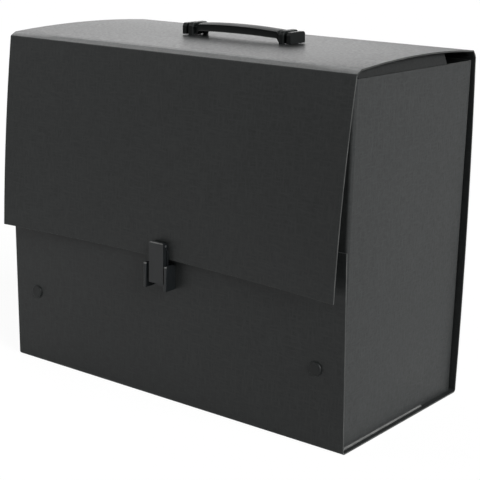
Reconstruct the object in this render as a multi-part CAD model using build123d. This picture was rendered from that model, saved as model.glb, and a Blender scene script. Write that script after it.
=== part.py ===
from build123d import *

import math
import os

# Document case folded from sheet plastic, for two upright ring binders.
# Millimetres. The origin is the middle of the bottom face, +Z is up,
# -Y is the front with the flap, and +X is on the right when facing the front.

# The folded outer sheet
CASE_WIDTH = 368.0
CASE_DEPTH = 180.0
SHEET = 1.3
FOOT_BEND = 3.0
FRONT_PANEL_HEIGHT = 166.0
FRONT_LEAN_LEFT = 1.4
FRONT_LEAN_RIGHT = 5.0
BACK_PANEL_BULGE = 3.4
FRONT_CREASE_HEIGHT = 300.5
REAR_CREASE_DROP = 2.7
REAR_CREASE_SETBACK = 1.4
CREASE_GAP = 0.4

# The lid, with a narrow sloping facet along its front and its rear crease, arched more at its ends
FRONT_FACET_DEPTH = 6.0
FRONT_FACET_RISE = 3.2
REAR_FACET_DEPTH = 4.4
REAR_FACET_RISE = 5.4
LID_ARCH_MIDDLE = 0.4
LID_ARCH_LEFT = 3.2
LID_ARCH_RIGHT = 4.0

# The flap, which bows out from its crease to its free edge
FLAP_DROP = 170.9
FLAP_FLARE_MIDDLE = 7.0
FLAP_FLARE_LEFT = 15.0
FLAP_FLARE_RIGHT = 21.0
FLAP_BELLY = 0.625

# The side panels, folded from their own sheets and riveted inside the outer one
SIDE_SHEET = 1.2
SIDE_INSET_FOOT = 5.0
SIDE_INSET_TOP = 1.5
SIDE_TOP_CLEARANCE = 3.7
SIDE_TOP_FALL = 1.9
SIDE_FLANGE_WIDTH = 36.0
SIDE_FOLD_RADIUS = 3.0
SIDE_REAR_GAP = 0.3
SIDE_FRONT_GAP = 0.1
FRONT_FLANGE_TRIM = 4.0
FLARE_WIDTH_FRONT = 2.0
FLARE_WIDTH_REAR = 1.4
FLARE_LENGTH = 123.0
FLARE_HEIGHT = 2.7
FLARE_EDGE = 0.5

# The tabs on the top of the side panels, which stand up and inwards under the lid at rest
TAB_LENGTH = 130.5
TAB_WIDTH = 12.0
TAB_REST_RISE = 70.0
TAB_END_GAP = 2.4
TAB_LID_GAP = 0.4

# Two-part snap rivets through the sheets
RIVET_HEAD_RADIUS = 6.0
RIVET_HEAD_HEIGHT = 1.5
RIVET_HEAD_ROUNDING = 1.2
RIVET_SHANK_RADIUS = 2.5
RIVET_CAP_RADIUS = 5.0
RIVET_CAP_HEIGHT = 2.0
RIVET_HOLE_CLEARANCE = 0.2
RIVET_FIT = 0.05
RIVET_EDGE_DISTANCE = 27.0
FRONT_RIVET_HEIGHT = 67.0
BACK_RIVET_HEIGHTS = (67.0, 232.0)
SEAT_GAP = 0.1

# How far a cut runs past the surface that it opens
CUT_EXTRA = 1.0

# Small rivets and backing plates under the latch and its catch
SMALL_RIVET_SHANK_RADIUS = 1.3
SMALL_RIVET_HEAD_RADIUS = 2.3
SMALL_RIVET_HEAD_HEIGHT = 0.8
BACKING_SHEET = 1.2

# The latch on the flap: a base plate, a pivot pin and a hollow lever
LATCH_PLATE_WIDTH = 18.0
LATCH_PLATE_SHEET = 1.6
LATCH_PLATE_ABOVE_EDGE = 8.9
LATCH_PLATE_BELOW_EDGE = 16.0
LATCH_RIVET_ABOVE_EDGE = 3.1
LATCH_RIVET_SPACING = 8.4
LUG_THICKNESS = 2.2
LUG_SPACING = 4.6
LUG_RADIUS = 1.9
PIVOT_ABOVE_EDGE = 11.8
PIVOT_STANDOFF = 2.3
PIN_RADIUS = 1.0
PIN_FIT = 0.05
LEVER_WIDTH = 16.0
LEVER_DEPTH = 5.7
LEVER_WALL = 1.2
LEVER_FACE = 1.3
LEVER_ABOVE_PIVOT = 2.7
LEVER_LENGTH = 35.5
LEVER_TOP_CORNER = 2.4
HOOK_THICKNESS = 1.4
HOOK_ENGAGEMENT = 0.9
MOVING_GAP = 0.2

# The catch on the front panel: a plate with two rails and a bar for the hook
CATCH_WIDTH = 25.0
CATCH_HEIGHT = 21.5
CATCH_BELOW_LEVER = 5.0
CATCH_PLATE_SHEET = 1.6
RAIL_THICKNESS = 2.5
RAIL_DEPTH = 12.4
RAIL_TIP_RADIUS = 1.1
CATCH_BAR_HEIGHT = 2.0
CATCH_BAR_DEPTH = 3.8
CATCH_BAR_PLAY = 1.1
CATCH_RIVET_SPACING = 10.0
CATCH_RIVET_BELOW_TOP = 6.5

# The carrying handle on the lid
HANDLE_Y = 10.5
HANDLE_LENGTH = 118.0
HEAD_DEPTH = 21.0
HEAD_THICKNESS = 4.0
HEAD_HEIGHT = 10.4
HEAD_CORNER = 3.0
HEAD_TRAVEL_GAP = 3.0
LOOP_LENGTH = 5.0
LOOP_DEPTH = 22.0
LOOP_HEIGHT = 11.4
LOOP_WALL = 2.2
LOOP_CORNER = 4.0
LOOP_WINDOW_CORNER = 1.8
STRAP_CLEARANCE = 0.3
STRAP_DEPTH = 17.0
STRAP_EDGE_ROUNDING = 1.4
NECK_SEAT = 0.6
NECK_INSIDE_LOOP = 1.6
GRIP_TOP_MIDDLE = 11.6
GRIP_TOP_END = 10.2
GRIP_UNDER_MIDDLE = 5.4
GRIP_UNDER_SHOULDER = 4.4
GRIP_SHOULDER_RUN = 12.0
GRIP_SEAT = 0.3
HANDLE_STRIP_LENGTH = 124.0
HANDLE_STRIP_DEPTH = 26.0
HANDLE_STRIP_SHEET = 1.5
LOOP_FOOT_OVERHANG = 1.2
LOOP_FOOT_HEIGHT = 1.0

# How many sections the lid and the flap are drawn through
LOFT_SECTIONS = 7

# Places that several pieces share
HALF_WIDTH = CASE_WIDTH / 2
HALF_DEPTH = CASE_DEPTH / 2
FRONT_CREASE = Vector(-HALF_DEPTH, FRONT_CREASE_HEIGHT)
REAR_CREASE = Vector(HALF_DEPTH + REAR_CREASE_SETBACK, FRONT_CREASE_HEIGHT - REAR_CREASE_DROP)
FRONT_FACET_TOP = FRONT_CREASE + Vector(FRONT_FACET_DEPTH, FRONT_FACET_RISE)
REAR_FACET_TOP = REAR_CREASE + Vector(-REAR_FACET_DEPTH, REAR_FACET_RISE)
FLAP_EDGE_HEIGHT = FRONT_CREASE_HEIGHT - FLAP_DROP
SIDE_TOP = FRONT_CREASE_HEIGHT - SIDE_TOP_CLEARANCE
SIDE_FOOT_X = HALF_WIDTH - SIDE_INSET_FOOT
SIDE_TOP_X = HALF_WIDTH - SIDE_INSET_TOP
SIDE_FRONT_Y = -HALF_DEPTH + SHEET + SIDE_FRONT_GAP
SIDE_REAR_Y = HALF_DEPTH - SHEET - SIDE_REAR_GAP
RIVET_X = HALF_WIDTH - RIVET_EDGE_DISTANCE


def yz_prism(edges, x_low, x_high):
    """A solid with a closed outline in the YZ plane, from x_low to x_high."""
    face = Plane.YZ.offset(x_low) * make_face(edges)
    return extrude(face, amount=x_high - x_low, dir=(1, 0, 0))


def xz_prism(edges, y_low, y_high):
    """A solid with a closed outline given as (x, z), from y_low to y_high."""
    face = Plane(origin=(0, y_low, 0), x_dir=(1, 0, 0), z_dir=(0, -1, 0)) * make_face(edges)
    return extrude(face, amount=y_high - y_low, dir=(0, 1, 0))


def block(x_range, y_range, z_range):
    """A box between two corners."""
    size = [high - low for low, high in (x_range, y_range, z_range)]
    middle = [(high + low) / 2 for low, high in (x_range, y_range, z_range)]
    return Pos(*middle) * Box(*size)


def y_rod(x, y_low, y_high, z, radius):
    """A round bar along Y."""
    return Pos(x, (y_low + y_high) / 2, z) * Rot(90, 0, 0) * Cylinder(radius, y_high - y_low)


def x_rod(x_low, x_high, y, z, radius):
    """A round bar along X."""
    return Pos((x_low + x_high) / 2, y, z) * Rot(0, 90, 0) * Cylinder(radius, x_high - x_low)


def unit(start, end):
    """The direction from one point of an outline to another."""
    return (end - start).normalized()


def inner_corner(corner, one_way, other_way, sheet):
    """Where the inner faces of two sheets meet, given the two directions away from the outer corner."""
    middle = (one_way + other_way).normalized()
    half_angle = math.acos(one_way.dot(middle))
    return corner + middle * (sheet / math.sin(half_angle))


def crease_end(corner, along, other_way, sheet):
    """The outer and inner corner of a sheet's mitred end, half a crease gap back from the mitre."""
    middle = (along + other_way).normalized()
    back = CREASE_GAP / 2 / math.sin(math.acos(along.dot(middle)))
    return corner + along * back, inner_corner(corner, along, other_way, sheet) + along * back


def front_face_y(x, z):
    """The outer face of the front panel at a place: it leans out, and more so towards the right."""
    share = (x / HALF_WIDTH + 1) / 2
    lean = FRONT_LEAN_LEFT + (FRONT_LEAN_RIGHT - FRONT_LEAN_LEFT) * share
    return -HALF_DEPTH - lean * (z - FOOT_BEND) / (FRONT_PANEL_HEIGHT - FOOT_BEND)


def side_face_x(z):
    """The outer face of the right side panel at a height."""
    return SIDE_FOOT_X + (SIDE_TOP_X - SIDE_FOOT_X) * z / SIDE_TOP


def between_ends(x, middle, left, right):
    """A size at a place along the case, on a parabola through its values in the middle and at both ends."""
    share = x / HALF_WIDTH
    slant = (right - left) / 2
    curl = (right + left) / 2 - middle
    return middle + slant * share + curl * share * share


def flap_flare(x):
    """How far out the free edge of the flap stands at a place along the case."""
    return between_ends(x, FLAP_FLARE_MIDDLE, FLAP_FLARE_LEFT, FLAP_FLARE_RIGHT)


def flap_face_y(x, z):
    """The outer face of the flap at a place: a parabola that leaves the crease and flattens lower down."""
    drop = (FRONT_CREASE_HEIGHT - z) / FLAP_DROP
    belly = 4 * FLAP_BELLY - 1
    return -HALF_DEPTH - flap_flare(x) * (belly * drop + (1 - belly) * drop * drop)


def lid_arch(x):
    """The outer line of the lid between its facets at a place along the case."""
    rise = between_ends(x, LID_ARCH_MIDDLE, LID_ARCH_LEFT, LID_ARCH_RIGHT)
    top = (FRONT_FACET_TOP + REAR_FACET_TOP) / 2 + Vector(0, rise)
    return ThreePointArc(FRONT_FACET_TOP, top, REAR_FACET_TOP)


def lid_face_z(x, y):
    """The outer face of the lid's arch at a place."""
    arch = lid_arch(x)
    centre = arch.arc_center
    return centre.Y + math.sqrt(arch.radius**2 - (y - centre.X) ** 2)


def back_profile():
    """The outer and inner arc of the back panel, from the foot bend up to its mitred top."""
    down = Vector(0, -1)
    to_lid = unit(REAR_CREASE, REAR_FACET_TOP)
    outer_top, inner_top = crease_end(REAR_CREASE, down, to_lid, SHEET)
    foot = Vector(HALF_DEPTH, FOOT_BEND)
    middle = (foot + outer_top) / 2 + Vector(BACK_PANEL_BULGE, 0)
    inward = Vector(-SHEET, 0)
    outer = ThreePointArc(foot, middle, outer_top)
    inner = ThreePointArc(inner_top, middle + inward, foot + inward)
    return outer, inner


def foot_bend(side, radius, rising):
    """A quarter turn of the outer sheet at the foot of the front (side -1) or the back (side 1)."""
    centre = Vector(side * (HALF_DEPTH - FOOT_BEND), FOOT_BEND)
    at_wall = centre + Vector(side * radius, 0)
    halfway = centre + Vector(side, -1).normalized() * radius
    at_floor = centre + Vector(0, -radius)
    if rising:
        return ThreePointArc(at_floor, halfway, at_wall)
    return ThreePointArc(at_wall, halfway, at_floor)


def wrap_section(x):
    """The outer sheet's section at a place along the case."""
    outer_back, inner_back = back_profile()
    front_top = Vector(front_face_y(x, FRONT_PANEL_HEIGHT), FRONT_PANEL_HEIGHT)
    inward = Vector(SHEET, 0)
    front_outer = foot_bend(-1, FOOT_BEND, False)
    back_outer = foot_bend(1, FOOT_BEND, True)
    back_inner = foot_bend(1, FOOT_BEND - SHEET, False)
    front_inner = foot_bend(-1, FOOT_BEND - SHEET, True)
    edges = [
        Line(front_top, front_outer @ 0),
        front_outer,
        Line(front_outer @ 1, back_outer @ 0),
        back_outer,
        outer_back,
        Line(outer_back @ 1, inner_back @ 0),
        inner_back,
        back_inner,
        Line(back_inner @ 1, front_inner @ 0),
        front_inner,
        Line(front_inner @ 1, front_top + inward),
        Line(front_top + inward, front_top),
    ]
    return Plane.YZ.offset(x) * make_face(edges)


def wrap_sheet():
    """The front panel, the bottom and the back panel, folded from one sheet."""
    return loft([wrap_section(-HALF_WIDTH), wrap_section(HALF_WIDTH)], ruled=True)


def lid_section(x):
    """The lid's section at a place along the case."""
    arch = lid_arch(x)
    facet_way = unit(FRONT_CREASE, FRONT_FACET_TOP)
    rear_way = unit(REAR_CREASE, REAR_FACET_TOP)
    down = Vector(0, -1)
    front_outer, front_inner = crease_end(FRONT_CREASE, facet_way, down, SHEET)
    rear_outer, rear_inner = crease_end(REAR_CREASE, rear_way, down, SHEET)
    front_knee = inner_corner(FRONT_FACET_TOP, facet_way * -1, arch % 0, SHEET)
    rear_knee = inner_corner(REAR_FACET_TOP, rear_way * -1, (arch % 1) * -1, SHEET)
    edges = [
        Line(front_outer, FRONT_FACET_TOP),
        arch,
        Line(REAR_FACET_TOP, rear_outer),
        Line(rear_outer, rear_inner),
        Line(rear_inner, rear_knee),
        ThreePointArc(rear_knee, (arch @ 0.5) - Vector(0, SHEET), front_knee),
        Line(front_knee, front_inner),
        Line(front_inner, front_outer),
    ]
    return Plane.YZ.offset(x) * make_face(edges)


def along_case(section):
    """A sheet lofted through its sections from the left end of the case to the right one."""
    step = CASE_WIDTH / (LOFT_SECTIONS - 1)
    return loft([section(-HALF_WIDTH + index * step) for index in range(LOFT_SECTIONS)])


def lid_panel():
    """The lid with its two narrow facets, lofted so that its ends arch up."""
    return along_case(lid_section)


def flap_section(x):
    """The flap's section at a place along the case."""
    down = Vector(0, -1)
    facet_way = unit(FRONT_CREASE, FRONT_FACET_TOP)
    outer_top, inner_top = crease_end(FRONT_CREASE, down, facet_way, SHEET)
    inward = Vector(SHEET, 0)
    middle_z = FRONT_CREASE_HEIGHT - FLAP_DROP / 2
    middle = Vector(flap_face_y(x, middle_z), middle_z)
    outer_foot = Vector(flap_face_y(x, FLAP_EDGE_HEIGHT), FLAP_EDGE_HEIGHT)
    edges = [
        ThreePointArc(outer_top, middle, outer_foot),
        Line(outer_foot, outer_foot + inward),
        ThreePointArc(outer_foot + inward, middle + inward, inner_top),
        Line(inner_top, outer_top),
    ]
    return Plane.YZ.offset(x) * make_face(edges)


def flap_panel():
    """The front flap, lofted so that its free edge bows out."""
    return along_case(flap_section)


def side_outline():
    """The folded side sheet seen from above: a front flange, the panel and a rear flange."""
    width = SIDE_FLANGE_WIDTH
    depth = SIDE_REAR_Y - SIDE_FRONT_Y
    middle_y = (SIDE_REAR_Y + SIDE_FRONT_Y) / 2
    outer = Pos(SIDE_FOOT_X - width / 2, middle_y) * Rectangle(width, depth)
    outer = fillet(outer.vertices().group_by(Axis.X)[-1], SIDE_FOLD_RADIUS)
    inner_width = width + SIDE_SHEET
    inner_middle_x = SIDE_FOOT_X - SIDE_SHEET - inner_width / 2
    inner = Pos(inner_middle_x, middle_y) * Rectangle(inner_width, depth - 2 * SIDE_SHEET)
    inner = fillet(inner.vertices().group_by(Axis.X)[-1], SIDE_FOLD_RADIUS - SIDE_SHEET)
    return outer - inner


def flare_section(y, width):
    """The section of the side panel's flared foot at a depth: a hollow curve from the panel's face outwards."""
    face_x = side_face_x(SHEET)
    rise = FLARE_HEIGHT - FLARE_EDGE
    radius = (width**2 + rise**2) / (2 * width)
    top = Vector(face_x, SHEET + FLARE_HEIGHT)
    edge = Vector(face_x + width, SHEET + FLARE_EDGE)
    half_turn = math.asin(rise / radius) / 2
    halfway = top + Vector(1 - math.cos(half_turn), -math.sin(half_turn)) * radius
    inside = Vector(-SIDE_SHEET / 2, 0)
    edges = [
        ThreePointArc(top, halfway, edge),
        Line(edge, Vector(edge.X, SHEET)),
        Line(Vector(edge.X, SHEET), Vector(face_x, SHEET) + inside),
        Line(Vector(face_x, SHEET) + inside, top + inside),
        Line(top + inside, top),
    ]
    return Plane(origin=(0, y, 0), x_dir=(1, 0, 0), z_dir=(0, -1, 0)) * make_face(edges)


def side_flare():
    """The foot of the side panel, which flares outwards on the bottom, a little less towards the rear."""
    start = SIDE_FRONT_Y + SIDE_FOLD_RADIUS
    front = flare_section(start, FLARE_WIDTH_FRONT)
    rear = flare_section(start + FLARE_LENGTH, FLARE_WIDTH_REAR)
    return loft([front, rear], ruled=True)


# The fold between the right side panel and its tab, where the axis lies on the inner faces
TAB_INWARD = Vector(-math.cos(math.radians(TAB_REST_RISE)), math.sin(math.radians(TAB_REST_RISE)))
TAB_UPWARD = Vector(-TAB_INWARD.Y, TAB_INWARD.X) * -1
TAB_MITRE_ANGLE = math.radians(90 - TAB_REST_RISE) / 2
TAB_MITRE_RISE = SIDE_SHEET * math.tan(TAB_MITRE_ANGLE)
TAB_FOLD_BACK = CREASE_GAP / 2 / math.cos(TAB_MITRE_ANGLE)
TAB_AXIS = Vector(side_face_x(SIDE_TOP) - SIDE_SHEET, SIDE_TOP - TAB_MITRE_RISE)
TAB_FRONT_Y = SIDE_FRONT_Y + SIDE_SHEET + TAB_END_GAP
SIDE_TOP_SLOPE = math.degrees(math.atan2(SIDE_TOP_FALL, SIDE_REAR_Y - SIDE_FRONT_Y))


def along_top_edge(shape):
    """Turns a level shape to follow the side panel's top edge, which falls towards the rear."""
    pivot = Pos(0, SIDE_FRONT_Y, SIDE_TOP)
    return pivot * Rot(-SIDE_TOP_SLOPE, 0, 0) * pivot.inverse() * shape


def tab_fold_cut():
    """What is cut from the top of the side panel along its tab, down to the mitre."""
    low = TAB_AXIS - Vector(0, TAB_FOLD_BACK)
    high = SIDE_TOP + SIDE_SHEET
    outer = low + Vector(SIDE_SHEET, TAB_MITRE_RISE) * 2
    outline = Polyline(
        low - Vector(SIDE_SHEET, 0),
        low,
        outer,
        Vector(outer.X, high),
        Vector(low.X - SIDE_SHEET, high),
        close=True,
    )
    return xz_prism(outline, TAB_FRONT_Y - CREASE_GAP, TAB_FRONT_Y + TAB_LENGTH + CREASE_GAP)


def side_panel_right():
    """The right side panel with its flanges, rivet holes, flared foot and mitred top edge."""
    rise = SIDE_TOP - SHEET
    lean = Vector(side_face_x(SIDE_TOP) - side_face_x(SHEET), 0, rise)
    foot = Pos(side_face_x(SHEET) - SIDE_FOOT_X, 0, SHEET) * side_outline()
    panel = extrude(foot, amount=lean.length, dir=lean.normalized())
    all_x = (SIDE_FOOT_X - 2 * SIDE_FLANGE_WIDTH, HALF_WIDTH)
    all_y = (SIDE_FRONT_Y - SHEET, SIDE_REAR_Y + SHEET)
    high = SIDE_TOP + SIDE_SHEET
    panel -= along_top_edge(block(all_x, all_y, (SIDE_TOP, high + SIDE_TOP_FALL)))
    panel -= along_top_edge(tab_fold_cut())
    flange_x = (all_x[0], SIDE_FOOT_X - 2 * SIDE_FOLD_RADIUS)
    front_y = (all_y[0], SIDE_FRONT_Y + SIDE_SHEET)
    panel -= block(flange_x, front_y, (SIDE_TOP - FRONT_FLANGE_TRIM, high))
    bend_edge = HALF_DEPTH - FOOT_BEND - SEAT_GAP
    for bend_y in ((all_y[0], -bend_edge), (bend_edge, all_y[1])):
        panel -= block(all_x, bend_y, (0, FOOT_BEND + SEAT_GAP))
    hole = RIVET_SHANK_RADIUS + RIVET_HOLE_CLEARANCE
    panel -= y_rod(RIVET_X, SIDE_FRONT_Y - SHEET, SIDE_FRONT_Y + 2 * SHEET, FRONT_RIVET_HEIGHT, hole)
    for height in BACK_RIVET_HEIGHTS:
        panel -= y_rod(RIVET_X, SIDE_REAR_Y - 2 * SHEET, SIDE_REAR_Y + SHEET, height, hole)
    return panel + side_flare()


def under_lid(side, x):
    """The room below the lid beyond a distance from the middle of the case, less a small gap."""
    lower = Vector(0, -SHEET - TAB_LID_GAP)
    arch = lid_arch(side * x)
    front = FRONT_CREASE + lower
    rear = (arch @ 1) + lower
    floor = FRONT_CREASE_HEIGHT / 2
    edges = [
        Line(front, (arch @ 0) + lower),
        ThreePointArc((arch @ 0) + lower, (arch @ 0.5) + lower, rear),
        Line(rear, Vector(rear.X, floor)),
        Line(Vector(rear.X, floor), Vector(front.X, floor)),
        Line(Vector(front.X, floor), front),
    ]
    return yz_prism(edges, *sorted((side * x, side * HALF_WIDTH)))


def top_tab(side):
    """The tab of one side, whose free edge follows the arched end of the lid."""
    fold = TAB_AXIS + TAB_INWARD * TAB_FOLD_BACK
    free_edge = TAB_AXIS + TAB_INWARD * TAB_WIDTH
    section = Polyline(
        fold,
        free_edge,
        free_edge + TAB_UPWARD * SIDE_SHEET,
        fold + Vector(SIDE_SHEET, TAB_MITRE_RISE),
        close=True,
    )
    tab = along_top_edge(xz_prism(section, TAB_FRONT_Y, TAB_FRONT_Y + TAB_LENGTH))
    if side < 0:
        tab = mirrored(tab)
    return tab & under_lid(side, free_edge.X - SIDE_SHEET)


def rivet_stud(x, z, seat_y, cap_seat_y):
    """The stud of a snap rivet along Y: a low domed head outside and a shank to the end of its cap."""
    outward = math.copysign(1, seat_y - cap_seat_y)
    seat = seat_y + outward * SEAT_GAP
    crown = seat + outward * RIVET_HEAD_HEIGHT
    head = y_rod(x, min(seat, crown), max(seat, crown), z, RIVET_HEAD_RADIUS)
    rim = [e for e in head.edges().filter_by(GeomType.CIRCLE) if abs(e.center().Y - crown) < SEAT_GAP]
    head = fillet(rim, RIVET_HEAD_ROUNDING)
    tip = cap_seat_y - outward * (SEAT_GAP + RIVET_CAP_HEIGHT)
    return head + y_rod(x, min(seat, tip), max(seat, tip), z, RIVET_SHANK_RADIUS)


def rivet_cap(x, z, seat_y, cap_seat_y):
    """The ring that snaps on the stud's shank inside the case."""
    outward = math.copysign(1, seat_y - cap_seat_y)
    seat = cap_seat_y - outward * SEAT_GAP
    end = seat - outward * RIVET_CAP_HEIGHT
    ring = y_rod(x, min(seat, end), max(seat, end), z, RIVET_CAP_RADIUS)
    cut = (min(seat, end) - CUT_EXTRA, max(seat, end) + CUT_EXTRA)
    return ring - y_rod(x, *cut, z, RIVET_SHANK_RADIUS + RIVET_FIT)


def back_face_y(z):
    """The outer face of the back panel at a height."""
    outer, _ = back_profile()
    centre = outer.arc_center
    return centre.X + math.sqrt(outer.radius**2 - (z - centre.Y) ** 2)


def rivet_places():
    """Each side-panel rivet as (x, z, outer seat, inner seat), the front ones and then the back ones."""
    front = []
    back = []
    for x in (-RIVET_X, RIVET_X):
        proud_y = front_face_y(x, FRONT_RIVET_HEIGHT + RIVET_HEAD_RADIUS)
        front.append((x, FRONT_RIVET_HEIGHT, proud_y, SIDE_FRONT_Y + SIDE_SHEET))
        for height in BACK_RIVET_HEIGHTS:
            proud_y = max(back_face_y(height - RIVET_HEAD_RADIUS), back_face_y(height + RIVET_HEAD_RADIUS))
            back.append((x, height, proud_y, SIDE_REAR_Y - SIDE_SHEET))
    return front, back


def small_rivet(x, z, head_seat_y, tail_seat_y):
    """A small rivet along Y with a flat head at each end, the first towards the front."""
    head = y_rod(x, head_seat_y - SMALL_RIVET_HEAD_HEIGHT, head_seat_y, z, SMALL_RIVET_HEAD_RADIUS)
    shank = y_rod(x, head_seat_y, tail_seat_y, z, SMALL_RIVET_SHANK_RADIUS)
    tail = y_rod(x, tail_seat_y, tail_seat_y + SMALL_RIVET_HEAD_HEIGHT, z, SMALL_RIVET_HEAD_RADIUS)
    return head + shank + tail


def small_hole(x, z, y_low, y_high):
    """The hole for a small rivet."""
    return y_rod(x, y_low, y_high, z, SMALL_RIVET_SHANK_RADIUS + RIVET_HOLE_CLEARANCE)


# The latch stands on the flap's face, and everything on it is placed from its back face
LATCH_BACK_Y = flap_face_y(LATCH_PLATE_WIDTH / 2, FLAP_EDGE_HEIGHT) - SEAT_GAP
LATCH_PLATE_FRONT_Y = LATCH_BACK_Y - LATCH_PLATE_SHEET
LEVER_FRONT_Y = LATCH_BACK_Y - LEVER_DEPTH
PIVOT_Y = LATCH_BACK_Y - PIVOT_STANDOFF
PIVOT_Z = FLAP_EDGE_HEIGHT + PIVOT_ABOVE_EDGE
LEVER_TOP = PIVOT_Z + LEVER_ABOVE_PIVOT
LEVER_FOOT = LEVER_TOP - LEVER_LENGTH
LATCH_RIVET_Z = FLAP_EDGE_HEIGHT + LATCH_RIVET_ABOVE_EDGE
FLAP_INSIDE_Y = flap_face_y(-LATCH_PLATE_WIDTH / 2, FLAP_EDGE_HEIGHT + LATCH_PLATE_ABOVE_EDGE) + SHEET
FLAP_BACKING_Y = FLAP_INSIDE_Y + SEAT_GAP
CATCH_FOOT = LEVER_FOOT - CATCH_BELOW_LEVER
CATCH_TOP = CATCH_FOOT + CATCH_HEIGHT
CATCH_BACK_Y = front_face_y(CATCH_WIDTH / 2, CATCH_TOP) - SEAT_GAP
CATCH_PLATE_FRONT_Y = CATCH_BACK_Y - CATCH_PLATE_SHEET
CATCH_BAR_FOOT = LEVER_FOOT + HOOK_THICKNESS + CATCH_BAR_PLAY
CATCH_BAR_FRONT_Y = CATCH_PLATE_FRONT_Y - CATCH_BAR_DEPTH
CATCH_RIVET_Z = CATCH_TOP - CATCH_RIVET_BELOW_TOP
CATCH_BACKING_Y = front_face_y(-CATCH_WIDTH / 2, CATCH_FOOT) + SHEET + SEAT_GAP


def latch_base():
    """The plate that is riveted to the flap, with two lugs for the pivot pin."""
    low = FLAP_EDGE_HEIGHT - LATCH_PLATE_BELOW_EDGE
    high = FLAP_EDGE_HEIGHT + LATCH_PLATE_ABOVE_EDGE
    half = LATCH_PLATE_WIDTH / 2
    plate = block((-half, half), (LATCH_PLATE_FRONT_Y, LATCH_BACK_Y), (low, high))
    corners = [e for e in plate.edges().filter_by(Axis.Y) if e.center().Z > PIVOT_Z - PIVOT_ABOVE_EDGE]
    plate = fillet(corners, LEVER_TOP_CORNER)
    lug_foot = LATCH_RIVET_Z + SMALL_RIVET_HEAD_RADIUS + MOVING_GAP
    hole_reach = (LATCH_PLATE_FRONT_Y - CUT_EXTRA, LATCH_BACK_Y + CUT_EXTRA)
    for side in (-1, 1):
        middle = side * LUG_SPACING
        reach = (middle - LUG_THICKNESS / 2, middle + LUG_THICKNESS / 2)
        plate += block(reach, (PIVOT_Y - LUG_RADIUS, LATCH_BACK_Y - SEAT_GAP), (lug_foot, PIVOT_Z))
        plate += x_rod(*reach, PIVOT_Y, PIVOT_Z, LUG_RADIUS)
        plate -= small_hole(side * LATCH_RIVET_SPACING / 2, LATCH_RIVET_Z, *hole_reach)
    return plate - x_rod(-half, half, PIVOT_Y, PIVOT_Z, PIN_RADIUS + PIN_FIT)


def latch_lever():
    """The hollow lever: a face, two side walls, a rounded top and the hook near its foot."""
    wall_back = LATCH_PLATE_FRONT_Y - MOVING_GAP
    wall = Polyline(
        (LEVER_FRONT_Y, LEVER_FOOT),
        (wall_back, LEVER_FOOT),
        (wall_back, PIVOT_Z),
        (PIVOT_Y, PIVOT_Z),
        (PIVOT_Y, LEVER_TOP),
        (LEVER_FRONT_Y, LEVER_TOP),
        close=True,
    )
    half = LEVER_WIDTH / 2
    body = yz_prism(wall, -half, half)
    inner = half - LEVER_WALL
    top_wall = LEVER_ABOVE_PIVOT - LUG_RADIUS - MOVING_GAP
    face_back = LEVER_FRONT_Y + LEVER_FACE
    hollow_z = (LEVER_FOOT - CUT_EXTRA, LEVER_TOP - top_wall)
    body -= block((-inner, inner), (face_back, wall_back + CUT_EXTRA), hollow_z)
    for side in (-1, 1):
        middle = side * (half - LEVER_WALL / 2)
        boss = (middle - LEVER_WALL / 2, middle + LEVER_WALL / 2)
        body += x_rod(*boss, PIVOT_Y, PIVOT_Z, LEVER_ABOVE_PIVOT)
    front_view = Pos(0, LEVER_TOP - LEVER_LENGTH / 2) * Rectangle(LEVER_WIDTH, LEVER_LENGTH)
    front_view = fillet(front_view.vertices().group_by(Axis.Y)[-1], LEVER_TOP_CORNER)
    body &= xz_prism(front_view.edges(), LEVER_FRONT_Y, LATCH_BACK_Y)
    body -= x_rod(-half, half, PIVOT_Y, PIVOT_Z, PIN_RADIUS + PIN_FIT)
    hook_y = (face_back - MOVING_GAP, CATCH_BAR_FRONT_Y + HOOK_ENGAGEMENT)
    hook_z = (LEVER_FOOT, LEVER_FOOT + HOOK_THICKNESS)
    return body + block((-inner - MOVING_GAP, inner + MOVING_GAP), hook_y, hook_z)


def latch_pin():
    """The pin that the lever turns on."""
    half = LEVER_WIDTH / 2 - MOVING_GAP
    return x_rod(-half, half, PIVOT_Y, PIVOT_Z, PIN_RADIUS)


def latch_backing_plate():
    """The plate inside the flap that the latch's rivets close on."""
    half = LATCH_PLATE_WIDTH / 2
    low = FLAP_EDGE_HEIGHT + SEAT_GAP
    rear_y = FLAP_BACKING_Y + BACKING_SHEET
    plate = block((-half, half), (FLAP_BACKING_Y, rear_y), (low, low + LATCH_PLATE_ABOVE_EDGE))
    hole_reach = (FLAP_BACKING_Y - CUT_EXTRA, rear_y + CUT_EXTRA)
    for side in (-1, 1):
        plate -= small_hole(side * LATCH_RIVET_SPACING / 2, LATCH_RIVET_Z, *hole_reach)
    return plate


def catch_body():
    """The catch: a plate on the front panel, two rails beside the lever and a bar above its hook."""
    half = CATCH_WIDTH / 2
    body = block((-half, half), (CATCH_PLATE_FRONT_Y, CATCH_BACK_Y), (CATCH_FOOT, CATCH_TOP))
    hole_reach = (CATCH_PLATE_FRONT_Y - CUT_EXTRA, CATCH_BACK_Y + CUT_EXTRA)
    for side in (-1, 1):
        reach = sorted((side * half, side * (half - RAIL_THICKNESS)))
        rail = block(reach, (CATCH_BACK_Y - RAIL_DEPTH, CATCH_BACK_Y), (CATCH_FOOT, CATCH_TOP))
        tips = [e for e in rail.edges().filter_by(Axis.Z) if e.center().Y < CATCH_BACK_Y - RAIL_DEPTH / 2]
        rail = fillet(tips, RAIL_TIP_RADIUS)
        body += rail
        body -= small_hole(side * CATCH_RIVET_SPACING / 2, CATCH_RIVET_Z, *hole_reach)
    bar_top = CATCH_BAR_FOOT + CATCH_BAR_HEIGHT
    return body + block((-half, half), (CATCH_BAR_FRONT_Y, CATCH_BACK_Y), (CATCH_BAR_FOOT, bar_top))


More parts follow.
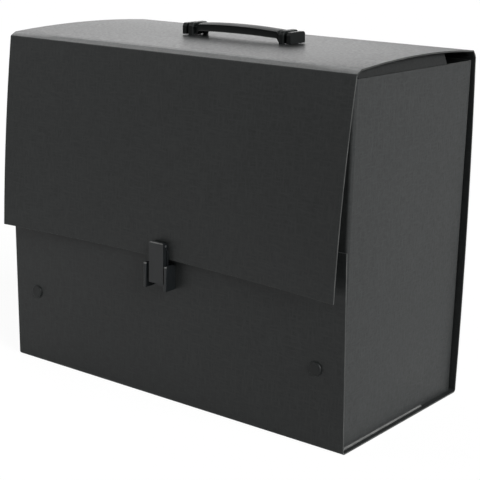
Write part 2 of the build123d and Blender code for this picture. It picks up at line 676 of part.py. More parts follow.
def catch_backing_plate():
    """The plate inside the front panel that the catch's rivets close on."""
    half = CATCH_WIDTH / 2
    rear_y = CATCH_BACKING_Y + BACKING_SHEET
    plate = block((-half, half), (CATCH_BACKING_Y, rear_y), (CATCH_FOOT, CATCH_TOP))
    hole_reach = (CATCH_BACKING_Y - CUT_EXTRA, rear_y + CUT_EXTRA)
    for side in (-1, 1):
        plate -= small_hole(side * CATCH_RIVET_SPACING / 2, CATCH_RIVET_Z, *hole_reach)
    return plate


def latch_rivets():
    """The two rivets of the latch base."""
    tail = FLAP_BACKING_Y + BACKING_SHEET + SEAT_GAP
    places = (-LATCH_RIVET_SPACING / 2, LATCH_RIVET_SPACING / 2)
    return [small_rivet(x, LATCH_RIVET_Z, LATCH_PLATE_FRONT_Y - SEAT_GAP, tail) for x in places]


def catch_rivets():
    """The two rivets of the catch."""
    tail = CATCH_BACKING_Y + BACKING_SHEET + SEAT_GAP
    places = (-CATCH_RIVET_SPACING / 2, CATCH_RIVET_SPACING / 2)
    return [small_rivet(x, CATCH_RIVET_Z, CATCH_PLATE_FRONT_Y - SEAT_GAP, tail) for x in places]


# The handle stands on the lid, and its pieces are placed from the lid's face
HEAD_OUTER_X = HANDLE_LENGTH / 2
HANDLE_FOOT = lid_face_z(HEAD_OUTER_X, HANDLE_Y)
HEAD_INNER_X = HEAD_OUTER_X - HEAD_THICKNESS
LOOP_OUTER_X = HEAD_INNER_X - HEAD_TRAVEL_GAP
LOOP_INNER_X = LOOP_OUTER_X - LOOP_LENGTH
GRIP_END_X = LOOP_INNER_X - STRAP_CLEARANCE
LEG_SLOT_TOP = HANDLE_FOOT + SHEET
STRIP_TOP = lid_face_z(0, HANDLE_Y + HANDLE_STRIP_DEPTH / 2) - SHEET - SEAT_GAP
STRIP_FOOT = STRIP_TOP - HANDLE_STRIP_SHEET
WINDOW_HEIGHT = LOOP_HEIGHT - LOOP_WALL


def y_span(depth):
    """The front and rear limit of a handle piece of a given depth."""
    return HANDLE_Y - depth / 2, HANDLE_Y + depth / 2


def leg_spans():
    """The front and rear limits of a loop's two legs."""
    front, rear = y_span(LOOP_DEPTH)
    return (front, front + LOOP_WALL), (rear - LOOP_WALL, rear)


def handle_loop(side):
    """One fixed loop: a bridge over the strap, and legs through the lid that are spread under the strip."""
    reach = sorted((side * LOOP_INNER_X, side * LOOP_OUTER_X))
    bridge = block(reach, y_span(LOOP_DEPTH), (HANDLE_FOOT, HANDLE_FOOT + LOOP_HEIGHT))
    top_edges = bridge.edges().filter_by(Axis.X).group_by(Axis.Z)[-1]
    bridge = fillet(top_edges, LOOP_CORNER)
    window_z = (HANDLE_FOOT - CUT_EXTRA, HANDLE_FOOT + WINDOW_HEIGHT)
    window = block(reach, y_span(LOOP_DEPTH - 2 * LOOP_WALL), window_z)
    window_edges = window.edges().filter_by(Axis.X).group_by(Axis.Z)[-1]
    bridge -= fillet(window_edges, LOOP_WINDOW_CORNER)
    leg_end = STRIP_FOOT - SEAT_GAP
    foot_reach = (reach[0] - LOOP_FOOT_OVERHANG, reach[1] + LOOP_FOOT_OVERHANG)
    for span in leg_spans():
        bridge += block(reach, span, (leg_end, HANDLE_FOOT))
        foot_span = (span[0] - LOOP_FOOT_OVERHANG, span[1] + LOOP_FOOT_OVERHANG)
        bridge += block(foot_reach, foot_span, (leg_end - LOOP_FOOT_HEIGHT, leg_end))
    return bridge


def leg_slots():
    """The slots for all four legs, with a little room round each leg."""
    room = RIVET_HOLE_CLEARANCE
    slots = []
    for side in (-1, 1):
        reach = sorted((side * LOOP_INNER_X, side * LOOP_OUTER_X))
        slot_x = (reach[0] - room, reach[1] + room)
        for span in leg_spans():
            slot_y = (span[0] - room, span[1] + room)
            slots.append(block(slot_x, slot_y, (STRIP_FOOT - CUT_EXTRA, LEG_SLOT_TOP)))
    return slots


def handle_backing_strip():
    """The strip inside the lid that spreads the handle's load."""
    half = HANDLE_STRIP_LENGTH / 2
    strip = block((-half, half), y_span(HANDLE_STRIP_DEPTH), (STRIP_FOOT, STRIP_TOP))
    for slot in leg_slots():
        strip -= slot
    return strip


def handle_grip():
    """The middle of the strap, between the loops, arched so that fingers go under it."""
    top_end = HANDLE_FOOT + GRIP_TOP_END
    under_end = HANDLE_FOOT + GRIP_SEAT
    shoulder_x = GRIP_END_X - GRIP_SHOULDER_RUN
    shoulder = HANDLE_FOOT + GRIP_UNDER_SHOULDER
    top_middle = (0, HANDLE_FOOT + GRIP_TOP_MIDDLE)
    under_middle = (0, HANDLE_FOOT + GRIP_UNDER_MIDDLE)
    edges = [
        ThreePointArc((-GRIP_END_X, top_end), top_middle, (GRIP_END_X, top_end)),
        Line((GRIP_END_X, top_end), (GRIP_END_X, under_end)),
        Line((GRIP_END_X, under_end), (shoulder_x, shoulder)),
        ThreePointArc((shoulder_x, shoulder), under_middle, (-shoulder_x, shoulder)),
        Line((-shoulder_x, shoulder), (-GRIP_END_X, under_end)),
        Line((-GRIP_END_X, under_end), (-GRIP_END_X, top_end)),
    ]
    grip = xz_prism(edges, *y_span(STRAP_DEPTH))
    top_face = grip.faces().sort_by(Axis.Z)[-1]
    long_edges = [e for e in top_face.edges() if e.length > GRIP_END_X]
    return fillet(long_edges, STRAP_EDGE_ROUNDING)


def strap_end(side):
    """One end of the strap: a neck inside the loop and a head outside it that can't pull through."""
    neck_reach = sorted((side * (LOOP_INNER_X + NECK_INSIDE_LOOP), side * HEAD_INNER_X))
    neck_top = HANDLE_FOOT + WINDOW_HEIGHT - STRAP_CLEARANCE
    neck = block(neck_reach, y_span(STRAP_DEPTH), (HANDLE_FOOT + NECK_SEAT, neck_top))
    neck_edges = neck.edges().filter_by(Axis.X).group_by(Axis.Z)[-1]
    neck = fillet(neck_edges, LOOP_WINDOW_CORNER)
    head_reach = sorted((side * HEAD_INNER_X, side * HEAD_OUTER_X))
    head = block(head_reach, y_span(HEAD_DEPTH), (HANDLE_FOOT + NECK_SEAT, HANDLE_FOOT + HEAD_HEIGHT))
    head_edges = head.edges().filter_by(Axis.X).group_by(Axis.Z)[-1]
    return neck + fillet(head_edges, HEAD_CORNER)


def drilled_wrap():
    """The outer sheet with the holes of every rivet that passes through it."""
    sheet = wrap_sheet()
    front, back = rivet_places()
    for x, z, seat_y, _ in front + back:
        hole = RIVET_SHANK_RADIUS + RIVET_HOLE_CLEARANCE
        sheet -= y_rod(x, seat_y - 2 * SHEET, seat_y + 2 * SHEET, z, hole)
    for side in (-1, 1):
        face = front_face_y(0, CATCH_RIVET_Z)
        sheet -= small_hole(side * CATCH_RIVET_SPACING / 2, CATCH_RIVET_Z, face - SHEET, face + 2 * SHEET)
    return sheet


def drilled_flap():
    """The flap with the holes of the latch's rivets."""
    flap = flap_panel()
    face = flap_face_y(0, LATCH_RIVET_Z)
    hole_reach = (face - 2 * SHEET, face + 2 * SHEET)
    for side in (-1, 1):
        flap -= small_hole(side * LATCH_RIVET_SPACING / 2, LATCH_RIVET_Z, *hole_reach)
    return flap


def slotted_lid():
    """The lid with the slots of the handle loops."""
    lid = lid_panel()
    for slot in leg_slots():
        lid -= slot
    return lid


def mirrored(shape):
    """The same piece for the other side of the case."""
    return mirror(shape, about=Plane.YZ)


def write(name, shape):
    """Writes one sub-part."""
    if isinstance(shape, list):
        shape = Compound(children=shape)
    export_step(shape, f"parts/{name}.step")


os.makedirs("parts", exist_ok=True)

front_rivets, back_rivets = rivet_places()
right_side = side_panel_right()

write("wrap_sheet", drilled_wrap())
write("lid_panel", slotted_lid())
write("flap_panel", drilled_flap())
write("side_panel_right", right_side)
write("side_panel_left", mirrored(right_side))
write("top_tab_right", top_tab(1))
write("top_tab_left", top_tab(-1))
write("front_rivet_studs", [rivet_stud(*place) for place in front_rivets])
write("front_rivet_caps", [rivet_cap(*place) for place in front_rivets])
write("back_rivet_studs", [rivet_stud(*place) for place in back_rivets])
write("back_rivet_caps", [rivet_cap(*place) for place in back_rivets])
write("latch_base", latch_base())
write("latch_lever", latch_lever())
write("latch_pin", latch_pin())
write("latch_rivets", latch_rivets())
write("latch_backing_plate", latch_backing_plate())
write("catch_body", catch_body())
write("catch_rivets", catch_rivets())
write("catch_backing_plate", catch_backing_plate())
write("handle_grip", handle_grip())
write("handle_strap_end_right", strap_end(1))
write("handle_strap_end_left", strap_end(-1))
write("handle_loop_right", handle_loop(1))
write("handle_loop_left", handle_loop(-1))
write("handle_backing_strip", handle_backing_strip())
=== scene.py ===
"""Looks of the document case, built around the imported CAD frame."""

import logging
import math
from collections.abc import Callable
from dataclasses import dataclass, field
from enum import Enum

import bpy
from mathutils import Matrix, Vector


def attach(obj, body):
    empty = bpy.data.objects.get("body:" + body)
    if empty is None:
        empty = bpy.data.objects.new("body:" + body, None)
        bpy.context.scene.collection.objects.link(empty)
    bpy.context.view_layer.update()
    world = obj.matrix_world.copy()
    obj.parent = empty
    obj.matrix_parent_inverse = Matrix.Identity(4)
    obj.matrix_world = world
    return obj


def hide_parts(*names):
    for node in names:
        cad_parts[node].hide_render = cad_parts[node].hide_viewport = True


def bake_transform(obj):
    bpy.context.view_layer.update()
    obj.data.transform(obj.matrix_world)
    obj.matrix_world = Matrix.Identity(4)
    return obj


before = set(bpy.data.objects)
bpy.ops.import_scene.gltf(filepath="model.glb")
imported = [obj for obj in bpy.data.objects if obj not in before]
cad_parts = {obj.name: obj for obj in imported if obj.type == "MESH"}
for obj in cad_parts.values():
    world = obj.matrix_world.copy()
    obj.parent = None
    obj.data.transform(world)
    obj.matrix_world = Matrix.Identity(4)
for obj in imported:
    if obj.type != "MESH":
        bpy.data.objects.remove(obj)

LOG = logging.getLogger("document_case")
MM = 0.001
MERGE_DISTANCE = 0.002 * MM
SHARP_ANGLE = math.radians(32)
RIM_SLOT = 1
# slot of painted light: the lid facet's painted sheen and the painted highlights on flares and latch rims
PAINTED_LIGHT_SLOT = 2
SQUARE_ON = 0.9  # a normal's least share along an axis where its face counts as square to it

Triple = tuple[float, float, float]
Material = bpy.types.Material
Socket = bpy.types.NodeSocket
FaceTest = Callable[[bpy.types.MeshPolygon], bool]


class Side(Enum):
    """The two sides of the case, by the sign of X."""

    LEFT = -1
    RIGHT = 1

    @property
    def word(self) -> str:
        """The side's word in the names of nodes and bodies."""
        return self.name.lower()


class Recipe:
    """A material's node tree while it is put together.

    Attributes:
        pattern_low: where the middle range of a noise pattern starts.
        pattern_high: where it ends.
    """

    pattern_low: float = 0.3
    pattern_high: float = 0.7

    def __init__(self, name: str) -> None:
        """Starts an empty material.

        Args:
            name: the material's name.
        """
        self.material = bpy.data.materials.new(name)
        self.material.use_nodes = True
        self.tree = self.material.node_tree
        self.tree.nodes.clear()
        self.output = self.tree.nodes.new("ShaderNodeOutputMaterial")
        self.place = self.add("ShaderNodeTexCoord").outputs["Object"]

    def add(self, kind: str, **values: object) -> bpy.types.Node:
        """Adds a node and sets its sockets and options.

        Args:
            kind: the node's type.
            **values: a socket's value, or a socket to link from, by the socket's name with _ for a space,
                or a node option by its own name.

        Returns:
            The new node.
        """
        node = self.tree.nodes.new(kind)
        for key, value in values.items():
            if key in node.bl_rna.properties:
                setattr(node, key, value)
                continue
            socket = node.inputs[key.replace("_", " ")]
            if isinstance(value, Socket):
                self.tree.links.new(value, socket)
            else:
                socket.default_value = value
        return node

    def stretched(self, scale: Triple) -> Socket:
        """The piece's coordinates, scaled along each axis.

        Args:
            scale: how many units of the pattern there are to the metre.

        Returns:
            The scaled coordinates.
        """
        return self.add("ShaderNodeMapping", Vector=self.place, Scale=scale).outputs["Vector"]

    def noise(self, scale: float, detail: float, place: Socket | None = None, **more: float) -> Socket:
        """Adds a noise pattern.

        Args:
            scale: how fine it is.
            detail: how many finer layers lie in it.
            place: the coordinates that it reads, if not the piece's own.
            **more: the noise node's other sockets.

        Returns:
            The pattern, from 0 to 1.
        """
        vector = self.place if place is None else place
        node = self.add("ShaderNodeTexNoise", Vector=vector, Scale=scale, Detail=detail, **more)
        return node.outputs["Fac"]

    def combine(self, operation: str, first: Socket, second: Socket) -> Socket:
        """Puts two patterns together.

        Args:
            operation: the math node's operation.
            first: one pattern.
            second: the other pattern.

        Returns:
            The result.
        """
        node = self.add("ShaderNodeMath", operation=operation)
        self.tree.links.new(first, node.inputs[0])
        self.tree.links.new(second, node.inputs[1])
        return node.outputs["Value"]

    def spread(self, source: Socket, low: float, high: float) -> Socket:
        """Maps a pattern's middle range onto a range of its own.

        Args:
            source: the pattern, from 0 to 1.
            low: what the pattern's dark parts become.
            high: what its bright parts become.

        Returns:
            The mapped value.
        """
        node = self.add(
            "ShaderNodeMapRange",
            Value=source,
            From_Min=self.pattern_low,
            From_Max=self.pattern_high,
            To_Min=low,
            To_Max=high,
        )
        return node.outputs["Result"]

    def shade(self, colour: Triple, factor: Socket) -> Socket:
        """Lightens and darkens a colour by a pattern.

        Args:
            colour: the plain colour.
            factor: what it is multiplied by.

        Returns:
            The patterned colour.
        """
        node = self.add("ShaderNodeVectorMath", operation="SCALE", Scale=factor)
        node.inputs[0].default_value = colour
        return node.outputs["Vector"]

    def bump(self, strength: float, depth: float, height: Socket) -> Socket:
        """Turns a pattern into relief.

        Args:
            strength: how much of the relief shows, from 0 to 1.
            depth: how deep it is in metres.
            height: the pattern.

        Returns:
            The bent normal.
        """
        return self.add("ShaderNodeBump", Strength=strength, Distance=depth, Height=height).outputs["Normal"]

    def finish(self, colour: Socket, roughness: Socket, normal: Socket, **more: float) -> Material:
        """Puts the shader on the material.

        Args:
            colour: the patterned colour.
            roughness: the patterned roughness.
            normal: the bent normal.
            **more: the shader's other sockets.

        Returns:
            The finished material.
        """
        shader = self.add(
            "ShaderNodeBsdfPrincipled", Base_Color=colour, Roughness=roughness, Normal=normal, **more
        )
        self.tree.links.new(shader.outputs["BSDF"], self.output.inputs["Surface"])
        return self.material


@dataclass(frozen=True)
class SheetFinish:
    """Extruded plastic sheet with a fine linen-like pressed grain and a faint cloudiness."""

    name: str
    colour: Triple
    roughness: float = 0.42
    roughness_spread: float = 0.05
    gloss: float = 0.25
    grain_size: float = 1.5 * MM
    grain_depth: float = 0.06 * MM
    grain_strength: float = 0.8
    thread_stretch: float = 6.0
    fine_scale: float = 0.6  # for a pattern of the grain's size it would be 1
    speckle: float = 0.30
    cloud_scale: float = 7.0
    cloud_tone: float = 0.05

    def material(self) -> Material:
        """Builds the node material.

        Returns:
            The finished material.
        """
        recipe = Recipe(self.name)
        long = self.thread_stretch
        threads = [self._threads(recipe, stretch) for stretch in ((long, long, 1.0), (1.0, 1.0, long))]
        weave = recipe.combine("MAXIMUM", *threads)
        fine = recipe.noise(self.fine_scale / self.grain_size, detail=5.0)
        cloud = recipe.noise(self.cloud_scale, detail=5.0, Roughness=0.6)
        tone = recipe.combine(
            "MULTIPLY",
            recipe.spread(weave, 1 - self.speckle, 1 + self.speckle),
            recipe.spread(cloud, 1 - self.cloud_tone, 1 + self.cloud_tone),
        )
        relief = recipe.combine("ADD", weave, fine)
        smooth, rough = self.roughness - self.roughness_spread, self.roughness + self.roughness_spread
        return recipe.finish(
            recipe.shade(self.colour, tone),
            recipe.spread(fine, smooth, rough),
            recipe.bump(self.grain_strength, self.grain_depth, relief),
            Specular_IOR_Level=self.gloss,
        )

    def _threads(self, recipe: Recipe, stretch: Triple) -> Socket:
        """The threads of the pressed grain in one direction.

        Args:
            recipe: the material's recipe.
            stretch: how many times the grain's size the threads measure along each axis.

        Returns:
            The threads' height, from 0 to 1.
        """
        scale = tuple(1 / (self.grain_size * length) for length in stretch)
        return recipe.noise(1.0, detail=2.0, place=recipe.stretched(scale))


@dataclass(frozen=True)
class EdgeFinish:
    """The rim of a cut sheet or of a moulded corner, painted paler than the faces beside it as a painted
    edge highlight, with random patches of rubbed wear.
    """

    name: str
    colour: Triple
    wear_and_highlight: Triple
    roughness: float = 0.36
    roughness_spread: float = 0.06
    gloss: float = 0.3
    patch_scale: float = 60.0
    patch_start: float = 0.45
    patch_full: float = 0.7
    stroke_scale: float = 900.0
    stroke_depth: float = 0.02 * MM
    stroke_strength: float = 0.4

    def material(self) -> Material:
        """Builds the node material.

        Returns:
            The finished material.
        """
        recipe = Recipe(self.name)
        patches = recipe.noise(self.patch_scale, detail=6.0, Roughness=0.65)
        wear = recipe.add(
            "ShaderNodeMapRange", Value=patches, From_Min=self.patch_start, From_Max=self.patch_full
        )
        # painted edge highlight: the plain colour is painted paler than the faces, and the patches mix in a
        # paler colour that is partly rubbed wear and partly painted highlight
        mix = recipe.add("ShaderNodeMix", data_type="RGBA")
        factor, plain, wear_and_highlight, mixed = mix.inputs[0], mix.inputs[6], mix.inputs[7], mix.outputs[2]
        recipe.tree.links.new(wear.outputs["Result"], factor)
        plain.default_value = (*self.colour, 1.0)
        wear_and_highlight.default_value = (*self.wear_and_highlight, 1.0)
        strokes = recipe.noise(self.stroke_scale, detail=2.0)
        smooth, rough = self.roughness - self.roughness_spread, self.roughness + self.roughness_spread
        return recipe.finish(
            mixed,
            recipe.spread(patches, rough, smooth),
            recipe.bump(self.stroke_strength, self.stroke_depth, strokes),
            Specular_IOR_Level=self.gloss,
        )


@dataclass(frozen=True)
class MouldedFinish:
    """Injection-moulded plastic, without the sheets' grain, with faint flow marks."""

    name: str
    colour: Triple
    roughness: float = 0.34
    smoother: float = 0.05
    rougher: float = 0.07
    gloss: float = 0.25
    skin_scale: float = 1600.0
    skin_depth: float = 0.015 * MM
    skin_strength: float = 0.5
    flow_scale: float = 45.0
    flow_tone: float = 0.10

    def material(self) -> Material:
        """Builds the node material.

        Returns:
            The finished material.
        """
        recipe = Recipe(self.name)
        skin = recipe.noise(self.skin_scale, detail=3.0)
        flow = recipe.noise(self.flow_scale, detail=3.0, Distortion=0.8)
        return recipe.finish(
            recipe.shade(self.colour, recipe.spread(flow, 1 - self.flow_tone, 1 + self.flow_tone)),
            recipe.spread(flow, self.roughness - self.smoother, self.roughness + self.rougher),
            recipe.bump(self.skin_strength, self.skin_depth, skin),
            Specular_IOR_Level=self.gloss,
        )


@dataclass(frozen=True)
class SteelFinish:
    """Drawn steel wire for the latch's pin."""

    name: str
    colour: Triple
    roughness: float = 0.32
    roughness_spread: float = 0.06
    line_scale: Triple = (200.0, 5000.0, 5000.0)
    line_tone: float = 0.1
    line_depth: float = 0.01 * MM
    line_strength: float = 0.3

    def material(self) -> Material:
        """Builds the node material.

        Returns:
            The finished material.
        """
        recipe = Recipe(self.name)
        lines = recipe.noise(1.0, detail=3.0, place=recipe.stretched(self.line_scale))
        smooth, rough = self.roughness - self.roughness_spread, self.roughness + self.roughness_spread
        return recipe.finish(
            recipe.shade(self.colour, recipe.spread(lines, 1 - self.line_tone, 1 + self.line_tone)),
            recipe.spread(lines, smooth, rough),
            recipe.bump(self.line_strength, self.line_depth, lines),
            Metallic=1.0,
        )


@dataclass
class Palette:
    """Every finish of the case, built once."""

    sheet: Material = field(init=False)
    side: Material = field(init=False)
    sheet_edge: Material = field(init=False)
    rivet: Material = field(init=False)
    tab: Material = field(init=False)
    facet: Material = field(init=False)
    painted_highlight: Material = field(init=False)
    latch: Material = field(init=False)
    latch_edge: Material = field(init=False)
    handle: Material = field(init=False)
    handle_edge: Material = field(init=False)
    steel: Material = field(init=False)

    def __post_init__(self) -> None:
        """Builds the materials."""
        self.sheet = SheetFinish("outer_sheet", (0.016, 0.0175, 0.0175)).material()
        self.side = SheetFinish("side_sheet", (0.020, 0.0215, 0.0215)).material()
        # partly rubbed wear, partly a painted edge highlight: the cut rims painted paler than the sheet
        self.sheet_edge = EdgeFinish(
            "sheet_edge", (0.030, 0.032, 0.031), wear_and_highlight=(0.060, 0.063, 0.061)
        ).material()
        self.rivet = MouldedFinish("rivet_plastic", (0.0085, 0.0098, 0.0098), roughness=0.42).material()
        # painted shade: the tabs are the side sheet painted darker for the shade under the lid's overhang
        self.tab = SheetFinish("tab_sheet", (0.007, 0.0078, 0.0078)).material()
        # painted sheen: the lid's narrow front facet is the same sheet, painted paler for the light that it
        # catches
        self.facet = SheetFinish("facet_painted_sheen", (0.070, 0.0725, 0.072), gloss=0.6).material()
        # painted highlight: the flared feet and the latch's top front rims painted pale where they catch the
        # light from above
        self.painted_highlight = EdgeFinish(
            "painted_highlight_rim", (0.10, 0.102, 0.10), wear_and_highlight=(0.17, 0.172, 0.168), gloss=0.5
        ).material()
        self.latch = MouldedFinish("latch_plastic", (0.0065, 0.0078, 0.0086), gloss=0.4).material()
        # partly rubbed wear, partly a painted edge highlight: the latch's rounded rims painted paler
        self.latch_edge = EdgeFinish(
            "latch_edge", (0.016, 0.018, 0.019), wear_and_highlight=(0.050, 0.054, 0.055), gloss=0.6
        ).material()
        self.handle = MouldedFinish(
            "handle_plastic", (0.0075, 0.0088, 0.0088), roughness=0.45, gloss=0.15
        ).material()
        # partly rubbed wear, partly a painted edge highlight: the handle's rounded rims painted paler
        self.handle_edge = EdgeFinish(
            "handle_edge", (0.012, 0.014, 0.014), wear_and_highlight=(0.030, 0.033, 0.032)
        ).material()
        self.steel = SteelFinish("steel_pin", (0.55, 0.55, 0.56)).material()


def select_only(piece: bpy.types.Object) -> None:
    """Makes one object the only one that operators act on.

    Args:
        piece: the object.
    """
    bpy.ops.object.select_all(action="DESELECT")
    piece.select_set(True)
    bpy.context.view_layer.objects.active = piece


def open_whole(piece: bpy.types.Object) -> None:
    """Opens a piece in edit mode with all of it selected.

    Args:
        piece: the object.
    """
    select_only(piece)
    bpy.ops.object.mode_set(mode="EDIT")
    bpy.ops.mesh.select_all(action="SELECT")


def select_faces(piece: bpy.types.Object, wanted: FaceTest) -> None:
    """Opens a piece in edit mode with only some of its faces selected.

    Args:
        piece: the object.
        wanted: says of each face whether it is one of them.
    """
    select_only(piece)
    bpy.ops.object.mode_set(mode="EDIT")
    bpy.ops.mesh.select_mode(type="FACE")
    bpy.ops.mesh.select_all(action="DESELECT")
    bpy.ops.object.mode_set(mode="OBJECT")
    for face in piece.data.polygons:
        face.select = wanted(face)
    bpy.ops.object.mode_set(mode="EDIT")


def close_faces() -> None:
    """Leaves edit mode after work on faces, with corners selectable again."""
    bpy.ops.mesh.select_mode(type="VERT")
    bpy.ops.object.mode_set(mode="OBJECT")


def paint_faces(piece: bpy.types.Object, slot: int, wanted: FaceTest) -> None:
    """Gives some faces of a piece another material slot.

    Args:
        piece: the object.
        slot: the slot.
        wanted: says of each face whether it is one of them.
    """
    for face in piece.data.polygons:
        if wanted(face):
            face.material_index = slot


def apply_modifier(piece: bpy.types.Object, kind: str, **options: object) -> None:
    """Adds a modifier and applies it.

    Args:
        piece: the object.
        kind: the modifier's type.
        **options: the modifier's settings.
    """
    select_only(piece)
    modifier = piece.modifiers.new(kind.lower(), kind)
    for key, value in options.items():
        setattr(modifier, key, value)
    bpy.ops.object.modifier_apply(modifier=modifier.name)


def round_edges(piece: bpy.types.Object, radius: float) -> None:
    """Rounds the sharp edges of a piece and gives the roundings the rim's material slot.

    Args:
        piece: the object.
        radius: the rounding's width in metres.
    """
    apply_modifier(
        piece,
        "BEVEL",
        width=radius,
        segments=2,
        limit_method="ANGLE",
        angle_limit=SHARP_ANGLE,
        material=RIM_SLOT,
    )
    select_only(piece)
    bpy.ops.object.shade_smooth_by_angle(angle=SHARP_ANGLE)
    apply_modifier(piece, "WEIGHTED_NORMAL", keep_sharp=True)


def rounded_copy(node: str, body: str, finish: Material, rim: Material, radius: float) -> bpy.types.Object:
    """Stands a copy with rounded edges in for a CAD node.

    Args:
        node: the node.
        body: the body that it rides on.
        finish: the material of its faces.
        rim: the material of its rounded edges.
        radius: the rounding's width in metres.

    Returns:
        The new piece.
    """
    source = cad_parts[node]
    piece = source.copy()
    piece.data = source.data.copy()
    piece.name = f"{node}_rounded"
    piece.data.name = piece.name
    piece.parent = None
    piece.matrix_world = Matrix.Identity(4)
    bpy.context.scene.collection.objects.link(piece)
    open_whole(piece)
    bpy.ops.mesh.remove_doubles(threshold=MERGE_DISTANCE)
    bpy.ops.mesh.customdata_custom_splitnormals_clear()
    bpy.ops.object.mode_set(mode="OBJECT")
    piece.data.materials.clear()
    piece.data.materials.append(finish)
    piece.data.materials.append(rim)
    round_edges(piece, radius)
    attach(piece, body)
    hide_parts(node)
    LOG.info("%s on %s: %d faces", piece.name, body, len(piece.data.polygons))
    return piece


@dataclass(frozen=True)
class Crease:
    """Where two hinged sheets meet.

    Attributes:
        name: the name of the bead that closes the crease.
        bodies: the bodies on its two sides.
        place: the bead's middle.
        length: the bead's length.
        axis: the axis that the bead, which is made standing, is laid down about.
        turn: how far it is laid down, in radians.
        half: half of the way from one body's sheet to the other's, across the bead.
        slot: a material's name; not used.
    """

    name: str
    bodies: tuple[str, str]
    place: Vector
    length: float
    axis: str
    turn: float
    half: Vector
    slot: str


@dataclass
class Sheets:
    """The folded outer sheet, the lid, the flap, the side panels and their tabs."""

    palette: Palette
    rim: float = 0.22 * MM
    case_width: float = 368 * MM
    facet_rear_y: float = -83.6 * MM
    facet_front_share: float = 0.3  # the least shares of a normal that lean forwards and up
    facet_up_share: float = 0.5
    flare_top: float = 4.2 * MM
    flare_inner_x: float = 179.3 * MM
    flare_up_share: float = 0.55  # the least share of a normal that points up
    bead_radius: float = 0.55 * MM
    bead_sides: int = 12
    bead_end_rim: float = 0.15 * MM
    bead_end_angle: float = math.radians(60)
    bead_smooth_angle: float = math.radians(50)
    rear_crease: Triple = (0, 90.69 * MM, 297.55 * MM)
    rear_crease_half: float = 0.5 * MM
    front_crease: Triple = (0, -89.36 * MM, 300.11 * MM)
    tab_crease_x: float = 181.9 * MM
    tab_crease_y: float = -19.5 * MM
    tab_crease_z: float = 295.63 * MM
    tab_crease_half: float = 0.4 * MM
    tab_length: float = 129.0 * MM
    tab_slope: float = 0.010734  # radians

    def build(self) -> None:
        """Builds and dresses every sheet."""
        finish, edge = self.palette.sheet, self.palette.sheet_edge
        wrap = rounded_copy("wrap_sheet", "case", finish, edge, self.rim)
        lid = rounded_copy("lid_panel", "lid", finish, edge, self.rim)
        flap = rounded_copy("flap_panel", "flap", finish, edge, self.rim)
        # the cut ends get the edge finish: rubbed wear and a painted edge highlight
        for piece in (wrap, lid, flap):
            paint_faces(piece, RIM_SLOT, lambda face: abs(face.normal.x) > SQUARE_ON)
        # painted sheen on the lid's narrow front facet
        lid.data.materials.append(self.palette.facet)
        paint_faces(lid, PAINTED_LIGHT_SLOT, self._is_front_facet)
        for side in Side:
            panel = rounded_copy(f"side_panel_{side.word}", "case", self.palette.side, edge, self.rim)
            # painted highlight on the outer, nearly level part of each flared foot
            panel.data.materials.append(self.palette.painted_highlight)
            paint_faces(panel, PAINTED_LIGHT_SLOT, self._is_flare_edge)
            # the tabs get painted shade, for the shade under the lid
            tab = self.palette.tab
            rounded_copy(f"top_tab_{side.word}", f"tab_{side.word}", tab, tab, self.rim)
        for crease in self._long_creases():
            self._close(crease, self.palette.sheet)
        # the tab creases' beads get the tabs' painted shade too
        for side in Side:
            self._close(self._tab_crease(side), self.palette.tab)

    def _is_front_facet(self, face: bpy.types.MeshPolygon) -> bool:
        """Says whether a face of the lid is on its narrow front facet, which is painted paler as a painted
        sheen.
        """
        leans_forward = face.normal.y < -self.facet_front_share and face.normal.z > self.facet_up_share
        return leans_forward and face.center.y < self.facet_rear_y

    def _is_flare_edge(self, face: bpy.types.MeshPolygon) -> bool:
        """Says whether a face of a side panel is the outer, nearly level part of its flared foot, which gets
        the painted highlight.
        """
        at_foot = face.center.z < self.flare_top and abs(face.center.x) > self.flare_inner_x
        return at_foot and face.normal.z > self.flare_up_share

    def _long_creases(self) -> tuple[Crease, Crease]:
        """The creases behind and in front of the lid.

        Returns:
            The rear crease and the front crease.
        """
        length = self.case_width - 2 * self.rim
        rear = Crease(
            name="rear_crease",
            bodies=("case", "lid"),
            place=Vector(self.rear_crease),
            length=length,
            axis="Y",
            turn=math.pi / 2,
            half=Vector((0, 0, self.rear_crease_half)),
            slot="outer_sheet",
        )
        front = Crease(
            name="front_crease",
            bodies=("lid", "flap"),
            place=Vector(self.front_crease),
            length=length,
            axis="Y",
            turn=math.pi / 2,
            half=Vector((0, -self.bead_radius, 0)),
            slot="outer_sheet",
        )
        return rear, front

    def _tab_crease(self, side: Side) -> Crease:
        """The crease between a side panel and its tab.

        Args:
            side: the side of the case.

        Returns:
            The crease.
        """
        return Crease(
            name=f"tab_crease_{side.word}",
            bodies=("case", f"tab_{side.word}"),
            place=Vector((side.value * self.tab_crease_x, self.tab_crease_y, self.tab_crease_z)),
            length=self.tab_length,
            axis="X",
            turn=math.pi / 2 + self.tab_slope,
            half=Vector((0, 0, self.tab_crease_half)),
            slot="side_sheet",
        )

    def _close(self, crease: Crease, finish: Material) -> None:
        """Closes a crease with a thin bead.

        Args:
            crease: the crease.
            finish: the material of the bead.
        """
        bpy.ops.object.select_all(action="DESELECT")
        bpy.ops.mesh.primitive_cylinder_add(
            vertices=self.bead_sides, radius=self.bead_radius, depth=crease.length
        )
        bead = bpy.context.object
        bead.name = crease.name
        apply_modifier(
            bead,
            "BEVEL",
            width=self.bead_end_rim,
            segments=2,
            limit_method="ANGLE",
            angle_limit=self.bead_end_angle,
        )
        select_only(bead)
        bpy.ops.object.shade_smooth_by_angle(angle=self.bead_smooth_angle)
        open_whole(bead)
        bpy.ops.transform.rotate(value=crease.turn, orient_axis=crease.axis, center_override=(0, 0, 0))
        bpy.ops.transform.translate(value=crease.place)
        bpy.ops.object.mode_set(mode="OBJECT")
        bead.data.materials.append(finish)
        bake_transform(bead)
        LOG.info("%s between %s and %s", crease.name, *crease.bodies)


